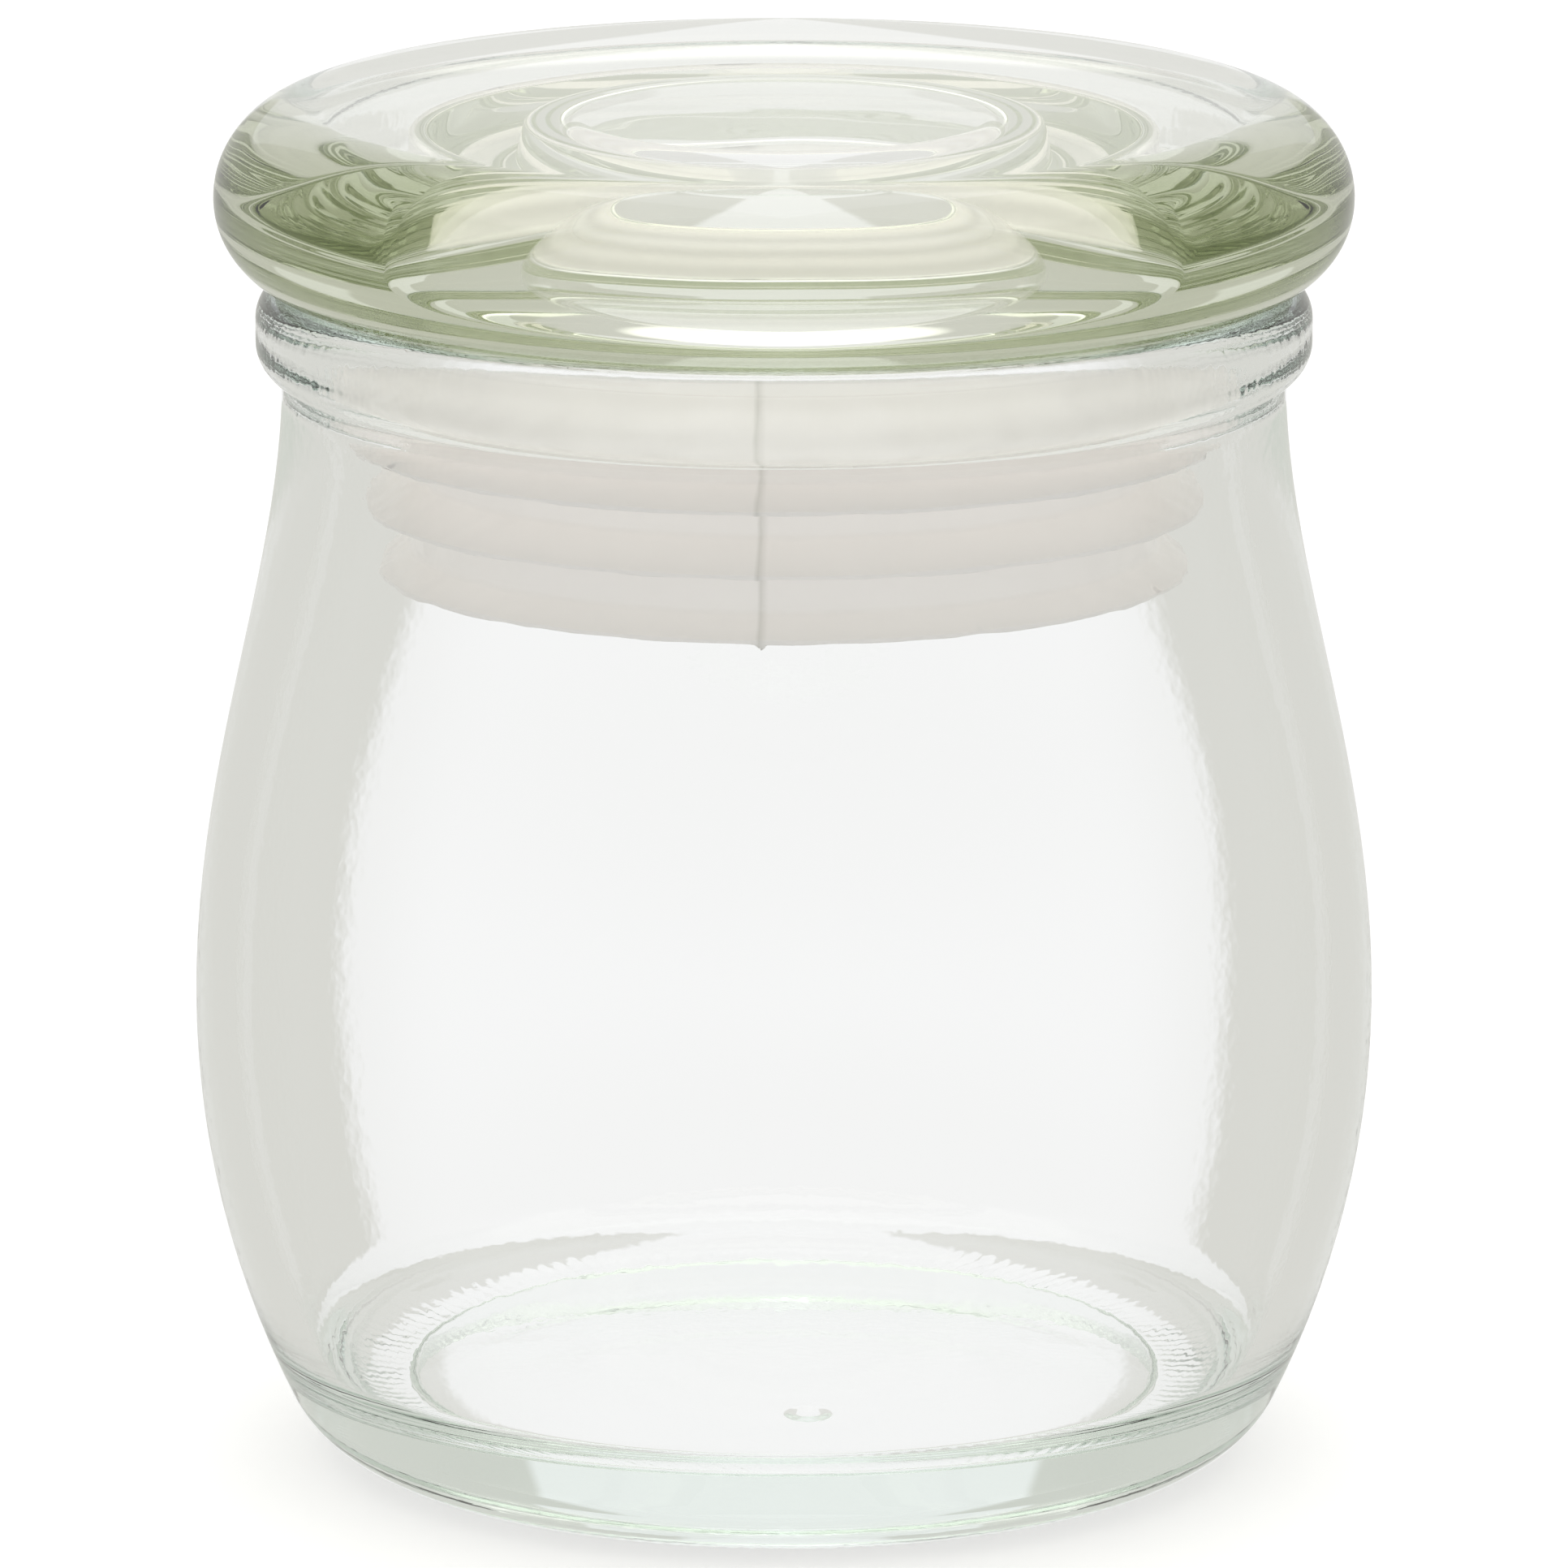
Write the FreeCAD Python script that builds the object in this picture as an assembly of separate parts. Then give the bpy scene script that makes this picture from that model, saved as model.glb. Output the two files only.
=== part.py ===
"""Small round storage jar of clear glass: a bellied jar, a glass lid with a hollow plug,
and the finned plastic gasket that grips the plug in the mouth of the jar.

Units are millimetres. +Z is up. The origin is the middle of the ring that the jar stands on.
Every piece is a figure of revolution about Z, and is drawn as an outline in radius and height.
"""
import FreeCAD, Part
import math
import os

# ---- jar: outside -----------------------------------------------------------------------
BELLY_RADIUS = 35.0           # widest part of the body
BELLY_HEIGHT = 27.5           # height of the widest part
LOWER_BODY_ARC = 54.5         # radius of the outline between the heel and the belly
HEEL_ROUNDING = 7.0           # rounding between the body and the base
SHOULDER_FULLNESS = 14.7      # how long the outline keeps the belly's direction
SHOULDER_REACH = 11.8         # how long the outline keeps the neck's direction
NECK_RADIUS = 29.6            # outside of the neck, just under the bead
RIM_HEIGHT = 70.5             # flat top of the mouth
BEAD_HEIGHT = 5.3             # bead round the mouth, from its lower corner to the rim
BEAD_PROJECTION = 1.55        # how far the bead stands out from the neck
BEAD_LOWER_ROUNDING = 2.1
BEAD_UPPER_ROUNDING = 1.9

# ---- jar: inside and base ---------------------------------------------------------------
WALL = 2.45                   # side wall of the body
NECK_WALL = 2.6               # wall between the neck and the bore of the mouth
LIP_ROUNDING = 0.9            # inner edge of the rim
BORE_DEPTH = 7.5              # straight bore below the rim
FLOOR_HEIGHT = 6.0            # inside floor above the surface that the jar stands on
INNER_HEEL_ROUNDING = 3.5     # rounding between the wall and the floor, inside
BEARING_WIDTH = 0.8           # flat ring that the jar stands on
RECESS_DEPTH = 1.2            # step from the bearing ring up to the recessed base
RECESS_CROWN = 0.6            # further rise of the recess towards its middle
STEP_ROUNDING = 0.5

# ---- lid --------------------------------------------------------------------------------
LID_OVERHANG = 2.4            # lid beyond the bead of the jar
LID_THICKNESS = 10.9          # disc only, without the plug
LID_LOWER_EDGE = 5.25         # rounding of the rim below its widest part
PLUG_GAP = 6.2                # between the plug, at the disc, and the bore of the mouth
PLUG_DEPTH = 15.2             # plug below the underside of the disc
PLUG_DRAFT = 0.5              # how much narrower the plug is at its end
PLUG_ROOT_ROUNDING = 1.0
PLUG_END_ROUNDING = 1.4
PLUG_WALL = 5.6               # glass round the hollow, at the hollow's closed end
HOLLOW_DRAFT = 0.7            # how much wider the hollow is at its mouth
HOLLOW_ROOF = 6.2             # glass between the top of the lid and the hollow
HOLLOW_ROUNDING = 3.0

# ---- gasket -----------------------------------------------------------------------------
SLEEVE_WALL = 1.3             # sleeve between its fins
SLEEVE_CLEARANCE = 0.1        # between the plug and the sleeve
GASKET_TOP_CLEARANCE = 0.2    # between the sleeve and the underside of the lid
GASKET_OVERHANG = 1.8         # how far the sleeve reaches below the end of the plug
SLEEVE_LIP = 1.0              # how far the end of the sleeve turns in under the plug
FIN_COUNT = 4
FIRST_FIN_DROP = 4.6          # tip of the highest fin below the rim of the jar
FIN_PITCH = 4.0
FIN_ROOT = 1.3                # height of a fin where it leaves the sleeve
FIN_TIP = 0.5                 # height of a fin at its tip
FIN_DROOP = 0.45              # fall of a fin for each millimetre that it stands out
FIN_CLEARANCE = 0.15          # between the highest fin and the bore of the mouth
FIN_TAPER = 0.95              # how much shorter each fin is than the one above

# ---- sizes that follow ------------------------------------------------------------------
BEAD_BASE = RIM_HEIGHT - BEAD_HEIGHT
BEAD_RADIUS = NECK_RADIUS + BEAD_PROJECTION
BORE_RADIUS = NECK_RADIUS - NECK_WALL
BORE_BOTTOM = RIM_HEIGHT - BORE_DEPTH
LID_RADIUS = BEAD_RADIUS + LID_OVERHANG
LID_TOP = RIM_HEIGHT + LID_THICKNESS
PLUG_RADIUS = BORE_RADIUS - PLUG_GAP
HOLLOW_RADIUS = PLUG_RADIUS - PLUG_WALL
PLUG_END = RIM_HEIGHT - PLUG_DEPTH
GASKET_END = PLUG_END - GASKET_OVERHANG
SLEEVE_BORE = PLUG_RADIUS + SLEEVE_CLEARANCE


def point(radius, height):
    """A point of an outline."""
    return FreeCAD.Vector(radius, 0, height)


def line(start, end):
    """Straight stretch between two (radius, height) points."""
    return Part.makeLine(point(*start), point(*end))


def arc(centre, radius, start_degrees, end_degrees):
    """Round stretch about centre. Angles are measured from outwards towards up."""
    def on_circle(degrees):
        angle = math.radians(degrees)
        return point(centre[0] + radius * math.cos(angle), centre[1] + radius * math.sin(angle))
    middle = (start_degrees + end_degrees) / 2
    return Part.Arc(on_circle(start_degrees), on_circle(middle), on_circle(end_degrees)).toShape()


def polyline(corners):
    """Straight stretches from each corner to the next."""
    return [line(start, end) for start, end in zip(corners, corners[1:])]


def revolved(edges):
    """Solid swept by an outline about Z, closed along the axis where it meets it."""
    loop = Part.sortEdges(edges)[0]
    solid = Part.Face(Part.Wire(loop)).revolve(point(0, 0), FreeCAD.Vector(0, 0, 1), 360)
    return solid if solid.Volume > 0 else solid.reversed()


def heel_centre_radius(belly_radius, body_arc, heel, bottom):
    """Radius at which the heel's arc is centred so that it meets the body's arc smoothly."""
    rise = BELLY_HEIGHT - bottom - heel
    return belly_radius - body_arc + math.sqrt((body_arc - heel) ** 2 - rise ** 2)


def body_side(belly_radius, body_arc, heel, bottom, neck_radius, neck_height):
    """Outline of one face of the wall, from the flat bottom to the neck: the heel's arc, the
    lower body's arc up to the belly, and one curve with upright ends from belly to neck."""
    heel_centre = (heel_centre_radius(belly_radius, body_arc, heel, bottom), bottom + heel)
    body_centre = (belly_radius - body_arc, BELLY_HEIGHT)
    meeting = math.degrees(math.atan2(heel_centre[1] - body_centre[1],
                                      heel_centre[0] - body_centre[0]))
    shoulder = Part.BezierCurve()
    shoulder.setPoles([
        point(belly_radius, BELLY_HEIGHT),
        point(belly_radius, BELLY_HEIGHT + SHOULDER_FULLNESS),
        point(neck_radius, neck_height - SHOULDER_REACH),
        point(neck_radius, neck_height),
    ])
    return [
        arc(heel_centre, heel, -90, meeting),
        arc(body_centre, body_arc, meeting, 0),
        shoulder.toShape(),
    ]


def bead_outline():
    """Rounded band round the mouth, from the neck up and over to the flat rim."""
    lower = BEAD_LOWER_ROUNDING
    upper = BEAD_UPPER_ROUNDING
    start = math.acos((lower - BEAD_PROJECTION) / lower)
    lower_centre = (BEAD_RADIUS - lower, BEAD_BASE + lower * math.sin(start))
    upper_centre = (BEAD_RADIUS - upper, RIM_HEIGHT - upper)
    return [
        arc(lower_centre, lower, -math.degrees(start), 0),
        line((BEAD_RADIUS, lower_centre[1]), (BEAD_RADIUS, upper_centre[1])),
        arc(upper_centre, upper, 0, 90),
    ]


def recess_outline(bearing_inner):
    """Underside within the bearing ring: a rounded step and a slightly crowned middle."""
    rounding = STEP_ROUNDING
    step_top = (bearing_inner - rounding, RECESS_DEPTH)
    half_chord = step_top[0]
    crown_radius = (half_chord ** 2 + RECESS_CROWN ** 2) / (2 * RECESS_CROWN)
    crown_centre = (0, RECESS_DEPTH + RECESS_CROWN - crown_radius)
    edge = math.degrees(math.acos(half_chord / crown_radius))
    return [
        arc(crown_centre, crown_radius, 90, edge),
        arc((step_top[0], RECESS_DEPTH - rounding), rounding, 90, 0),
        line((bearing_inner, RECESS_DEPTH - rounding), (bearing_inner, 0)),
    ]


def make_jar():
    """Bellied jar with a bead round its mouth and a recessed base, open at the top."""
    bearing_outer = heel_centre_radius(BELLY_RADIUS, LOWER_BODY_ARC, HEEL_ROUNDING, 0)
    bearing_inner = bearing_outer - BEARING_WIDTH
    inner_belly = BELLY_RADIUS - WALL
    inner_arc = LOWER_BODY_ARC - WALL
    floor_edge = heel_centre_radius(inner_belly, inner_arc, INNER_HEEL_ROUNDING, FLOOR_HEIGHT)
    lip_centre = (BORE_RADIUS + LIP_ROUNDING, RIM_HEIGHT - LIP_ROUNDING)
    edges = recess_outline(bearing_inner)
    edges += [line((bearing_inner, 0), (bearing_outer, 0))]
    edges += body_side(BELLY_RADIUS, LOWER_BODY_ARC, HEEL_ROUNDING, 0, NECK_RADIUS, BEAD_BASE)
    edges += bead_outline()
    edges += [
        line((BEAD_RADIUS - BEAD_UPPER_ROUNDING, RIM_HEIGHT), (lip_centre[0], RIM_HEIGHT)),
        arc(lip_centre, LIP_ROUNDING, 90, 180),
        line((BORE_RADIUS, lip_centre[1]), (BORE_RADIUS, BORE_BOTTOM)),
    ]
    edges += body_side(inner_belly, inner_arc, INNER_HEEL_ROUNDING, FLOOR_HEIGHT,
                       BORE_RADIUS, BORE_BOTTOM)
    edges += [
        line((floor_edge, FLOOR_HEIGHT), (0, FLOOR_HEIGHT)),
        line((0, FLOOR_HEIGHT), (0, RECESS_DEPTH + RECESS_CROWN)),
    ]
    return revolved(edges)


def make_lid():
    """Thick disc with a fully rounded rim, and below it a plug that is hollow from its end."""
    lower = LID_LOWER_EDGE
    upper = LID_THICKNESS - lower
    widest = RIM_HEIGHT + lower
    roof = LID_TOP - HOLLOW_ROOF
    plug_tip = PLUG_RADIUS - PLUG_DRAFT
    mouth = HOLLOW_RADIUS + HOLLOW_DRAFT
    outline = [
        line((0, LID_TOP), (LID_RADIUS - upper, LID_TOP)),
        arc((LID_RADIUS - upper, widest), upper, 90, 0),
        arc((LID_RADIUS - lower, widest), lower, 0, -90),
    ]
    outline += polyline([
        (LID_RADIUS - lower, RIM_HEIGHT),
        (PLUG_RADIUS, RIM_HEIGHT),
        (plug_tip, PLUG_END),
        (mouth, PLUG_END),
        (HOLLOW_RADIUS, roof),
        (0, roof),
        (0, LID_TOP),
    ])
    lid = revolved(outline)
    lid = rounded(lid, PLUG_RADIUS, RIM_HEIGHT, PLUG_ROOT_ROUNDING)
    lid = rounded(lid, plug_tip, PLUG_END, PLUG_END_ROUNDING)
    lid = rounded(lid, mouth, PLUG_END, PLUG_END_ROUNDING)
    return rounded(lid, HOLLOW_RADIUS, roof, HOLLOW_ROUNDING)


def rounded(solid, radius, height, rounding):
    """Round the circular edge of the given radius and height."""
    for edge in solid.Edges:
        curve = edge.Curve
        if isinstance(curve, Part.Circle) and abs(curve.Radius - radius) < 1e-6:
            if abs(curve.Center.z - height) < 1e-6:
                return solid.makeFillet(rounding, [edge])
    raise ValueError("no circular edge of radius %g at height %g" % (radius, height))


def fin_corners(index):
    """Outline of one fin, from its lower root over its tip to its upper root."""
    tip_radius = BORE_RADIUS - FIN_CLEARANCE - index * FIN_TAPER
    tip_height = RIM_HEIGHT - FIRST_FIN_DROP - index * FIN_PITCH
    root_radius = SLEEVE_BORE + SLEEVE_WALL
    root_height = tip_height + FIN_DROOP * (tip_radius - root_radius)
    return [
        (root_radius, root_height - FIN_ROOT / 2),
        (tip_radius, tip_height - FIN_TIP / 2),
        (tip_radius, tip_height + FIN_TIP / 2),
        (root_radius, root_height + FIN_ROOT / 2),
    ]


def make_gasket():
    """Sleeve round the plug with flexible fins that get shorter towards its end, where it
    turns in under the plug."""
    outer = SLEEVE_BORE + SLEEVE_WALL
    top = RIM_HEIGHT - GASKET_TOP_CLEARANCE
    lip_radius = PLUG_RADIUS - PLUG_DRAFT - SLEEVE_LIP
    lip_top = PLUG_END - SLEEVE_CLEARANCE
    root_top = RIM_HEIGHT - PLUG_ROOT_ROUNDING
    corners = [
        (SLEEVE_BORE, lip_top),
        (lip_radius, lip_top),
        (lip_radius, GASKET_END),
        (outer, GASKET_END),
    ]
    for index in reversed(range(FIN_COUNT)):
        corners += fin_corners(index)
    corners += [
        (outer, top),
        (SLEEVE_BORE + PLUG_ROOT_ROUNDING, top),
        (SLEEVE_BORE, root_top),
        (SLEEVE_BORE, lip_top),
    ]
    return revolved(polyline(corners))


def main():
    """Build every piece and write one STEP file for each."""
    os.makedirs("parts", exist_ok=True)
    pieces = {"jar": make_jar(), "lid": make_lid(), "gasket": make_gasket()}
    for name, shape in pieces.items():
        shape.exportStep("parts/%s.step" % name)
        box = shape.BoundBox
        print("%s: %.2f cm3, %.2f x %.2f x %.2f mm, valid %s" % (
            name, shape.Volume / 1000, box.XLength, box.YLength, box.ZLength, shape.isValid()))


main()
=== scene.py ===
"""Looks for a small round storage jar: clear pressed glass, a glass lid with a hollow plug,
and the cloudy finned gasket between them.

Every piece is a surface of revolution worked out with numpy from an outline in radius and
height, with its relief added along the outline's normals. Sizes are in millimetres until a
mesh is made, and metres from there on.
"""

import logging
import math
from dataclasses import dataclass, field
from enum import Enum

import bpy
import numpy as np
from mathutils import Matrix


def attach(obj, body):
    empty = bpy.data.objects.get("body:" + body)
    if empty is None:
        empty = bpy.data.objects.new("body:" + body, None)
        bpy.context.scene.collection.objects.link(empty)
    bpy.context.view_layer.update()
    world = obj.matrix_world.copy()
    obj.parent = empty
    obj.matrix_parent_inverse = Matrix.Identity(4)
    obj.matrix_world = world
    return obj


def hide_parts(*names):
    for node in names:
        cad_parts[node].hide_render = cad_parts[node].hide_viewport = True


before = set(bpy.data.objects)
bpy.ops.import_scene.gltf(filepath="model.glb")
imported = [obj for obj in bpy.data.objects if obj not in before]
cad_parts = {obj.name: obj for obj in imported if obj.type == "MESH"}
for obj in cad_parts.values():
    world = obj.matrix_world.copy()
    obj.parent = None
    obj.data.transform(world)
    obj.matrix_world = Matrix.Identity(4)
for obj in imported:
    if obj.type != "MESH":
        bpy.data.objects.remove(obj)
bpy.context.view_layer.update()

LOG = logging.getLogger("jar")
MM = 0.001
BODY = "root"


class Face(Enum):
    """The stretches of the jar's surface that are finished differently."""

    OUTSIDE = 0
    INSIDE = 1
    BASE = 2


# ---- outlines -----------------------------------------------------------------------------


def arc(centre: tuple[float, float], radius: float, start: float, end: float,
        steps: int) -> np.ndarray:
    """Points of a circle's arc: centre plus radius times (cosine, sine) of evenly spaced angles.

    Args:
        centre: Radius and height of the arc's centre.
        radius: Radius of the arc.
        start: First angle in degrees, from outwards towards up.
        end: Last angle in degrees.
        steps: Number of equal steps.

    Returns:
        An array of steps + 1 rows of radius and height.
    """
    angles = np.radians(np.linspace(start, end, steps + 1))
    return np.stack([centre[0] + radius * np.cos(angles), centre[1] + radius * np.sin(angles)], 1)


def bezier(poles: list[tuple[float, float]], steps: int) -> np.ndarray:
    """Points of a cubic curve: the four poles weighted by the Bernstein polynomials.

    Args:
        poles: Four rows of radius and height.
        steps: Number of equal steps of the parameter.

    Returns:
        An array of steps + 1 rows of radius and height.
    """
    t = np.linspace(0.0, 1.0, steps + 1)[:, None]
    weights = np.hstack([(1 - t) ** 3, 3 * t * (1 - t) ** 2, 3 * t ** 2 * (1 - t), t ** 3])
    return weights @ np.array(poles)


def straight(start: tuple[float, float], end: tuple[float, float], margin: float = 0.15,
             steps: int = 1) -> np.ndarray:
    """Points of a straight stretch, with one point close to each end so that it shades flat.

    Args:
        start: First radius and height.
        end: Last radius and height.
        margin: Distance of the two extra points from the ends.
        steps: Number of equal steps between the extra points.

    Returns:
        An array of rows of radius and height.
    """
    length = math.hypot(end[0] - start[0], end[1] - start[1])
    near = min(margin / length, 0.3)
    shares = np.concatenate([[0.0], np.linspace(near, 1 - near, steps + 1), [1.0]])[:, None]
    return (1 - shares) * np.array(start) + shares * np.array(end)


def joined(*stretches: np.ndarray) -> np.ndarray:
    """All stretches in order as one outline, without the points that repeat."""
    points = np.concatenate(stretches)
    apart = np.linalg.norm(np.diff(points, axis=0), axis=1) > 1e-6
    return points[np.concatenate([[True], apart])]


def rounded(corners: list[tuple[float, float, float]], closed: bool, steps: int) -> np.ndarray:
    """A polygon with its corners rounded: each corner is replaced by the arc that touches both
    of its sides at rounding times the tangent of half the turn from the corner.

    Args:
        corners: Rows of radius, height and rounding.
        closed: Whether the last corner joins the first.
        steps: Number of steps in each arc.

    Returns:
        An array of rows of radius and height.
    """
    data = np.array(corners, float)
    points, rounding = data[:, :2], data[:, 2]
    before = points - np.roll(points, 1, axis=0)
    after = np.roll(points, -1, axis=0) - points
    size_in = np.linalg.norm(before, axis=1)
    size_out = np.linalg.norm(after, axis=1)
    way_in = before / size_in[:, None]
    way_out = after / size_out[:, None]
    turn = np.arctan2(way_in[:, 0] * way_out[:, 1] - way_in[:, 1] * way_out[:, 0],
                      np.sum(way_in * way_out, axis=1))
    half = np.tan(np.abs(turn) / 2)
    reach = np.minimum(rounding * half, 0.48 * np.minimum(size_in, size_out))
    radius = reach / np.maximum(half, 1e-9)
    side = np.sign(turn)[:, None] * np.stack([-way_in[:, 1], way_in[:, 0]], 1)
    centre = points - way_in * reach[:, None] + side * radius[:, None]
    angle = turn[:, None] * np.linspace(0.0, 1.0, steps + 1)[None, :]
    spoke = -side * radius[:, None]
    arcs = centre[:, None, :] + np.stack([
        spoke[:, 0, None] * np.cos(angle) - spoke[:, 1, None] * np.sin(angle),
        spoke[:, 0, None] * np.sin(angle) + spoke[:, 1, None] * np.cos(angle)], 2)
    if not closed:
        arcs[0] = points[0]
        arcs[-1] = points[-1]
    return joined(arcs.reshape(-1, 2))


def outline_normals(outline: np.ndarray, closed: bool) -> np.ndarray:
    """Unit normals of an outline: its central differences turned by a quarter turn.

    Args:
        outline: Rows of radius and height.
        closed: Whether the last point joins the first.

    Returns:
        One row of radius and height per point, pointing to the left of the way along it.
    """
    if closed:
        along = np.roll(outline, -1, axis=0) - np.roll(outline, 1, axis=0)
    else:
        along = np.gradient(outline, axis=0)
    along /= np.linalg.norm(along, axis=1)[:, None]
    return np.stack([-along[:, 1], along[:, 0]], 1)


# ---- meshes -------------------------------------------------------------------------------


def mesh_object(name: str, points: np.ndarray, quads: np.ndarray, caps: np.ndarray) -> bpy.types.Object:
    """A smooth-shaded object from arrays of points, four-sided faces and triangles.

    Args:
        name: Name of the object and its mesh.
        points: One row of x, y and z in metres per vertex.
        quads: One row of four vertex numbers per face.
        caps: One row of three vertex numbers per triangle round a pole; may be empty.

    Returns:
        The object, linked to the scene.
    """
    mesh = bpy.data.meshes.new(name)
    mesh.vertices.add(len(points))
    mesh.vertices.foreach_set("co", points.astype(np.float32).ravel())
    corners = np.concatenate([quads.ravel(), caps.ravel()])
    starts = np.concatenate([np.arange(len(quads)) * 4, len(quads) * 4 + np.arange(len(caps)) * 3])
    mesh.loops.add(len(corners))
    mesh.loops.foreach_set("vertex_index", corners.astype(np.int32))
    mesh.polygons.add(len(starts))
    mesh.polygons.foreach_set("loop_start", starts.astype(np.int32))
    mesh.update(calc_edges=True)
    mesh.validate()
    mesh.polygons.foreach_set("use_smooth", np.ones(len(mesh.polygons), bool))
    piece = bpy.data.objects.new(name, mesh)
    bpy.context.scene.collection.objects.link(piece)
    return piece


@dataclass
class Revolved:
    """A figure of revolution about Z, closed at the axis or as a ring.

    The surface is (radius cos a, radius sin a, height) for every outline point and angle a,
    moved by the relief along the outline's normal, which is turned to point out of the solid.
    """

    name: str
    outline: np.ndarray
    columns: int
    ring: bool = False
    relief: np.ndarray | None = None
    marks: dict[str, np.ndarray] = field(default_factory=dict)  # one value per row, or a grid

    def angles(self) -> np.ndarray:
        """Angle of every column, in radians."""
        return np.arange(self.columns) * (2 * math.pi / self.columns)

    def outward(self) -> np.ndarray:
        """The outline's normals, turned so that they point out of the solid."""
        normals = outline_normals(self.outline, self.ring)
        radius, height = self.outline.T
        ends = np.roll(self.outline, -1, axis=0)
        area = np.sum(radius * ends[:, 1] - ends[:, 0] * height)
        return normals if area < 0 else -normals

    def points(self) -> np.ndarray:
        """Grid of x, y and z in millimetres: one row per outline point, one column per angle."""
        shift = 0.0 if self.relief is None else self.relief
        normals = self.outward()
        radius = self.outline[:, 0, None] + normals[:, 0, None] * shift
        height = self.outline[:, 1, None] + normals[:, 1, None] * shift
        angles = self.angles()[None, :]
        return np.stack([radius * np.cos(angles), radius * np.sin(angles),
                         height + 0.0 * angles], 2)

    def build(self) -> bpy.types.Object:
        """The finished object, with one point attribute for each of its marks.

        Returns:
            The object, linked to the scene.
        """
        grid = self.points() * MM
        rows = len(grid)
        if self.ring:
            points, first, caps = grid.reshape(-1, 3), 0, np.zeros((0, 3), int)
            lower = np.arange(rows)
        else:
            inner = grid[1:-1].reshape(-1, 3)
            points = np.concatenate([inner, grid[0, :1], grid[-1, :1]])
            first, last = len(inner), len(inner) + 1
            near = np.arange(self.columns)
            beside = (near + 1) % self.columns
            end = (rows - 3) * self.columns
            caps = np.concatenate([
                np.stack([np.full(self.columns, first), beside, near], 1),
                np.stack([np.full(self.columns, last), end + near, end + beside], 1)])
            lower = np.arange(rows - 3)
        upper = (lower + 1) % rows
        near = np.arange(self.columns)[None, :]
        beside = (near + 1) % self.columns
        low, high = lower[:, None] * self.columns, upper[:, None] * self.columns
        quads = np.stack([low + near, low + beside, high + beside, high + near], 2).reshape(-1, 4)
        if np.sum(self.outline[:, 0] * np.roll(self.outline[:, 1], -1)
                  - np.roll(self.outline[:, 0], -1) * self.outline[:, 1]) < 0:
            quads, caps = quads[:, ::-1], caps[:, ::-1]
        piece = mesh_object(self.name, points, quads, caps)
        for mark, values in self.marks.items():
            body = np.broadcast_to(values.reshape(rows, -1), (rows, self.columns))
            spread = body.ravel()
            if not self.ring:
                spread = np.concatenate([body[1:-1].ravel(), body[0, :1], body[-1, :1]])
            layer = piece.data.attributes.new(mark, "FLOAT", "POINT")
            layer.data.foreach_set("value", spread.astype(np.float32))
        return piece


@dataclass(frozen=True)
class Waves:
    """Faint unevenness of a pressed surface: a sum of plane sine waves in space with seeded
    directions, lengths and phases, so that it has no pattern round the axis. A stretch above
    one makes the waves that many times longer along the level directions."""

    seed: int
    count: int
    shortest: float
    longest: float
    height: float
    stretch: float = 1.0

    def relief(self, outline: np.ndarray, angles: np.ndarray) -> np.ndarray:
        """Height of the waves over an outline and a row of angles, never above the surface.

        Args:
            outline: Rows of radius and height.
            angles: Angles round the axis in radians.

        Returns:
            A grid with one row per outline point and one column per angle, nought at most.
        """
        chance = np.random.default_rng(self.seed)
        way = chance.normal(size=(self.count, 3))
        way /= np.linalg.norm(way, axis=1)[:, None]
        way *= 2 * math.pi / chance.uniform(self.shortest, self.longest, self.count)[:, None]
        way[:, :2] /= self.stretch
        phase = chance.uniform(0.0, 2 * math.pi, self.count)
        place = np.stack([outline[:, 0, None] * np.cos(angles), outline[:, 0, None]
                          * np.sin(angles), outline[:, 1, None] + 0 * angles], 2)
        waves = np.sin(place @ way.T + phase).sum(axis=2)
        return self.height / math.sqrt(self.count) * (waves - waves.max())


# ---- finishes -----------------------------------------------------------------------------


def linear(code: str) -> tuple[float, float, float, float]:
    """Linear red, green, blue and alpha of an sRGB hex code such as '#c0ffee'."""
    parts = np.array([int(code[i:i + 2], 16) / 255 for i in (1, 3, 5)])
    values = np.where(parts <= 0.04045, parts / 12.92, ((parts + 0.055) / 1.055) ** 2.4)
    return (*[float(v) for v in values], 1.0)


def add(tree: bpy.types.NodeTree, kind: str, settings: dict | None = None,
        **links: object) -> bpy.types.Node:
    """A new node with its settings and its inputs.

    Args:
        tree: Node tree that the node goes into.
        kind: Blender's name for the type of node.
        settings: Properties of the node itself.
        **links: Inputs by name, with _ for a space, or in0, in1 by number: an output socket to
            link, or a value to set.

    Returns:
        The node.
    """
    node = tree.nodes.new(kind)
    for key, value in (settings or {}).items():
        setattr(node, key, value)
    for key, value in links.items():
        numbered = key.startswith("in") and key[2:].isdigit()
        socket = node.inputs[int(key[2:]) if numbered else key.replace("_", " ")]
        if isinstance(value, bpy.types.NodeSocket):
            tree.links.new(value, socket)
        else:
            socket.default_value = value
    return node


def new_tree(name: str) -> tuple[bpy.types.Material, bpy.types.NodeTree]:
    """An empty node material and its tree."""
    material = bpy.data.materials.new(name)
    material.use_nodes = True
    material.node_tree.nodes.clear()
    return material, material.node_tree


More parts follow.
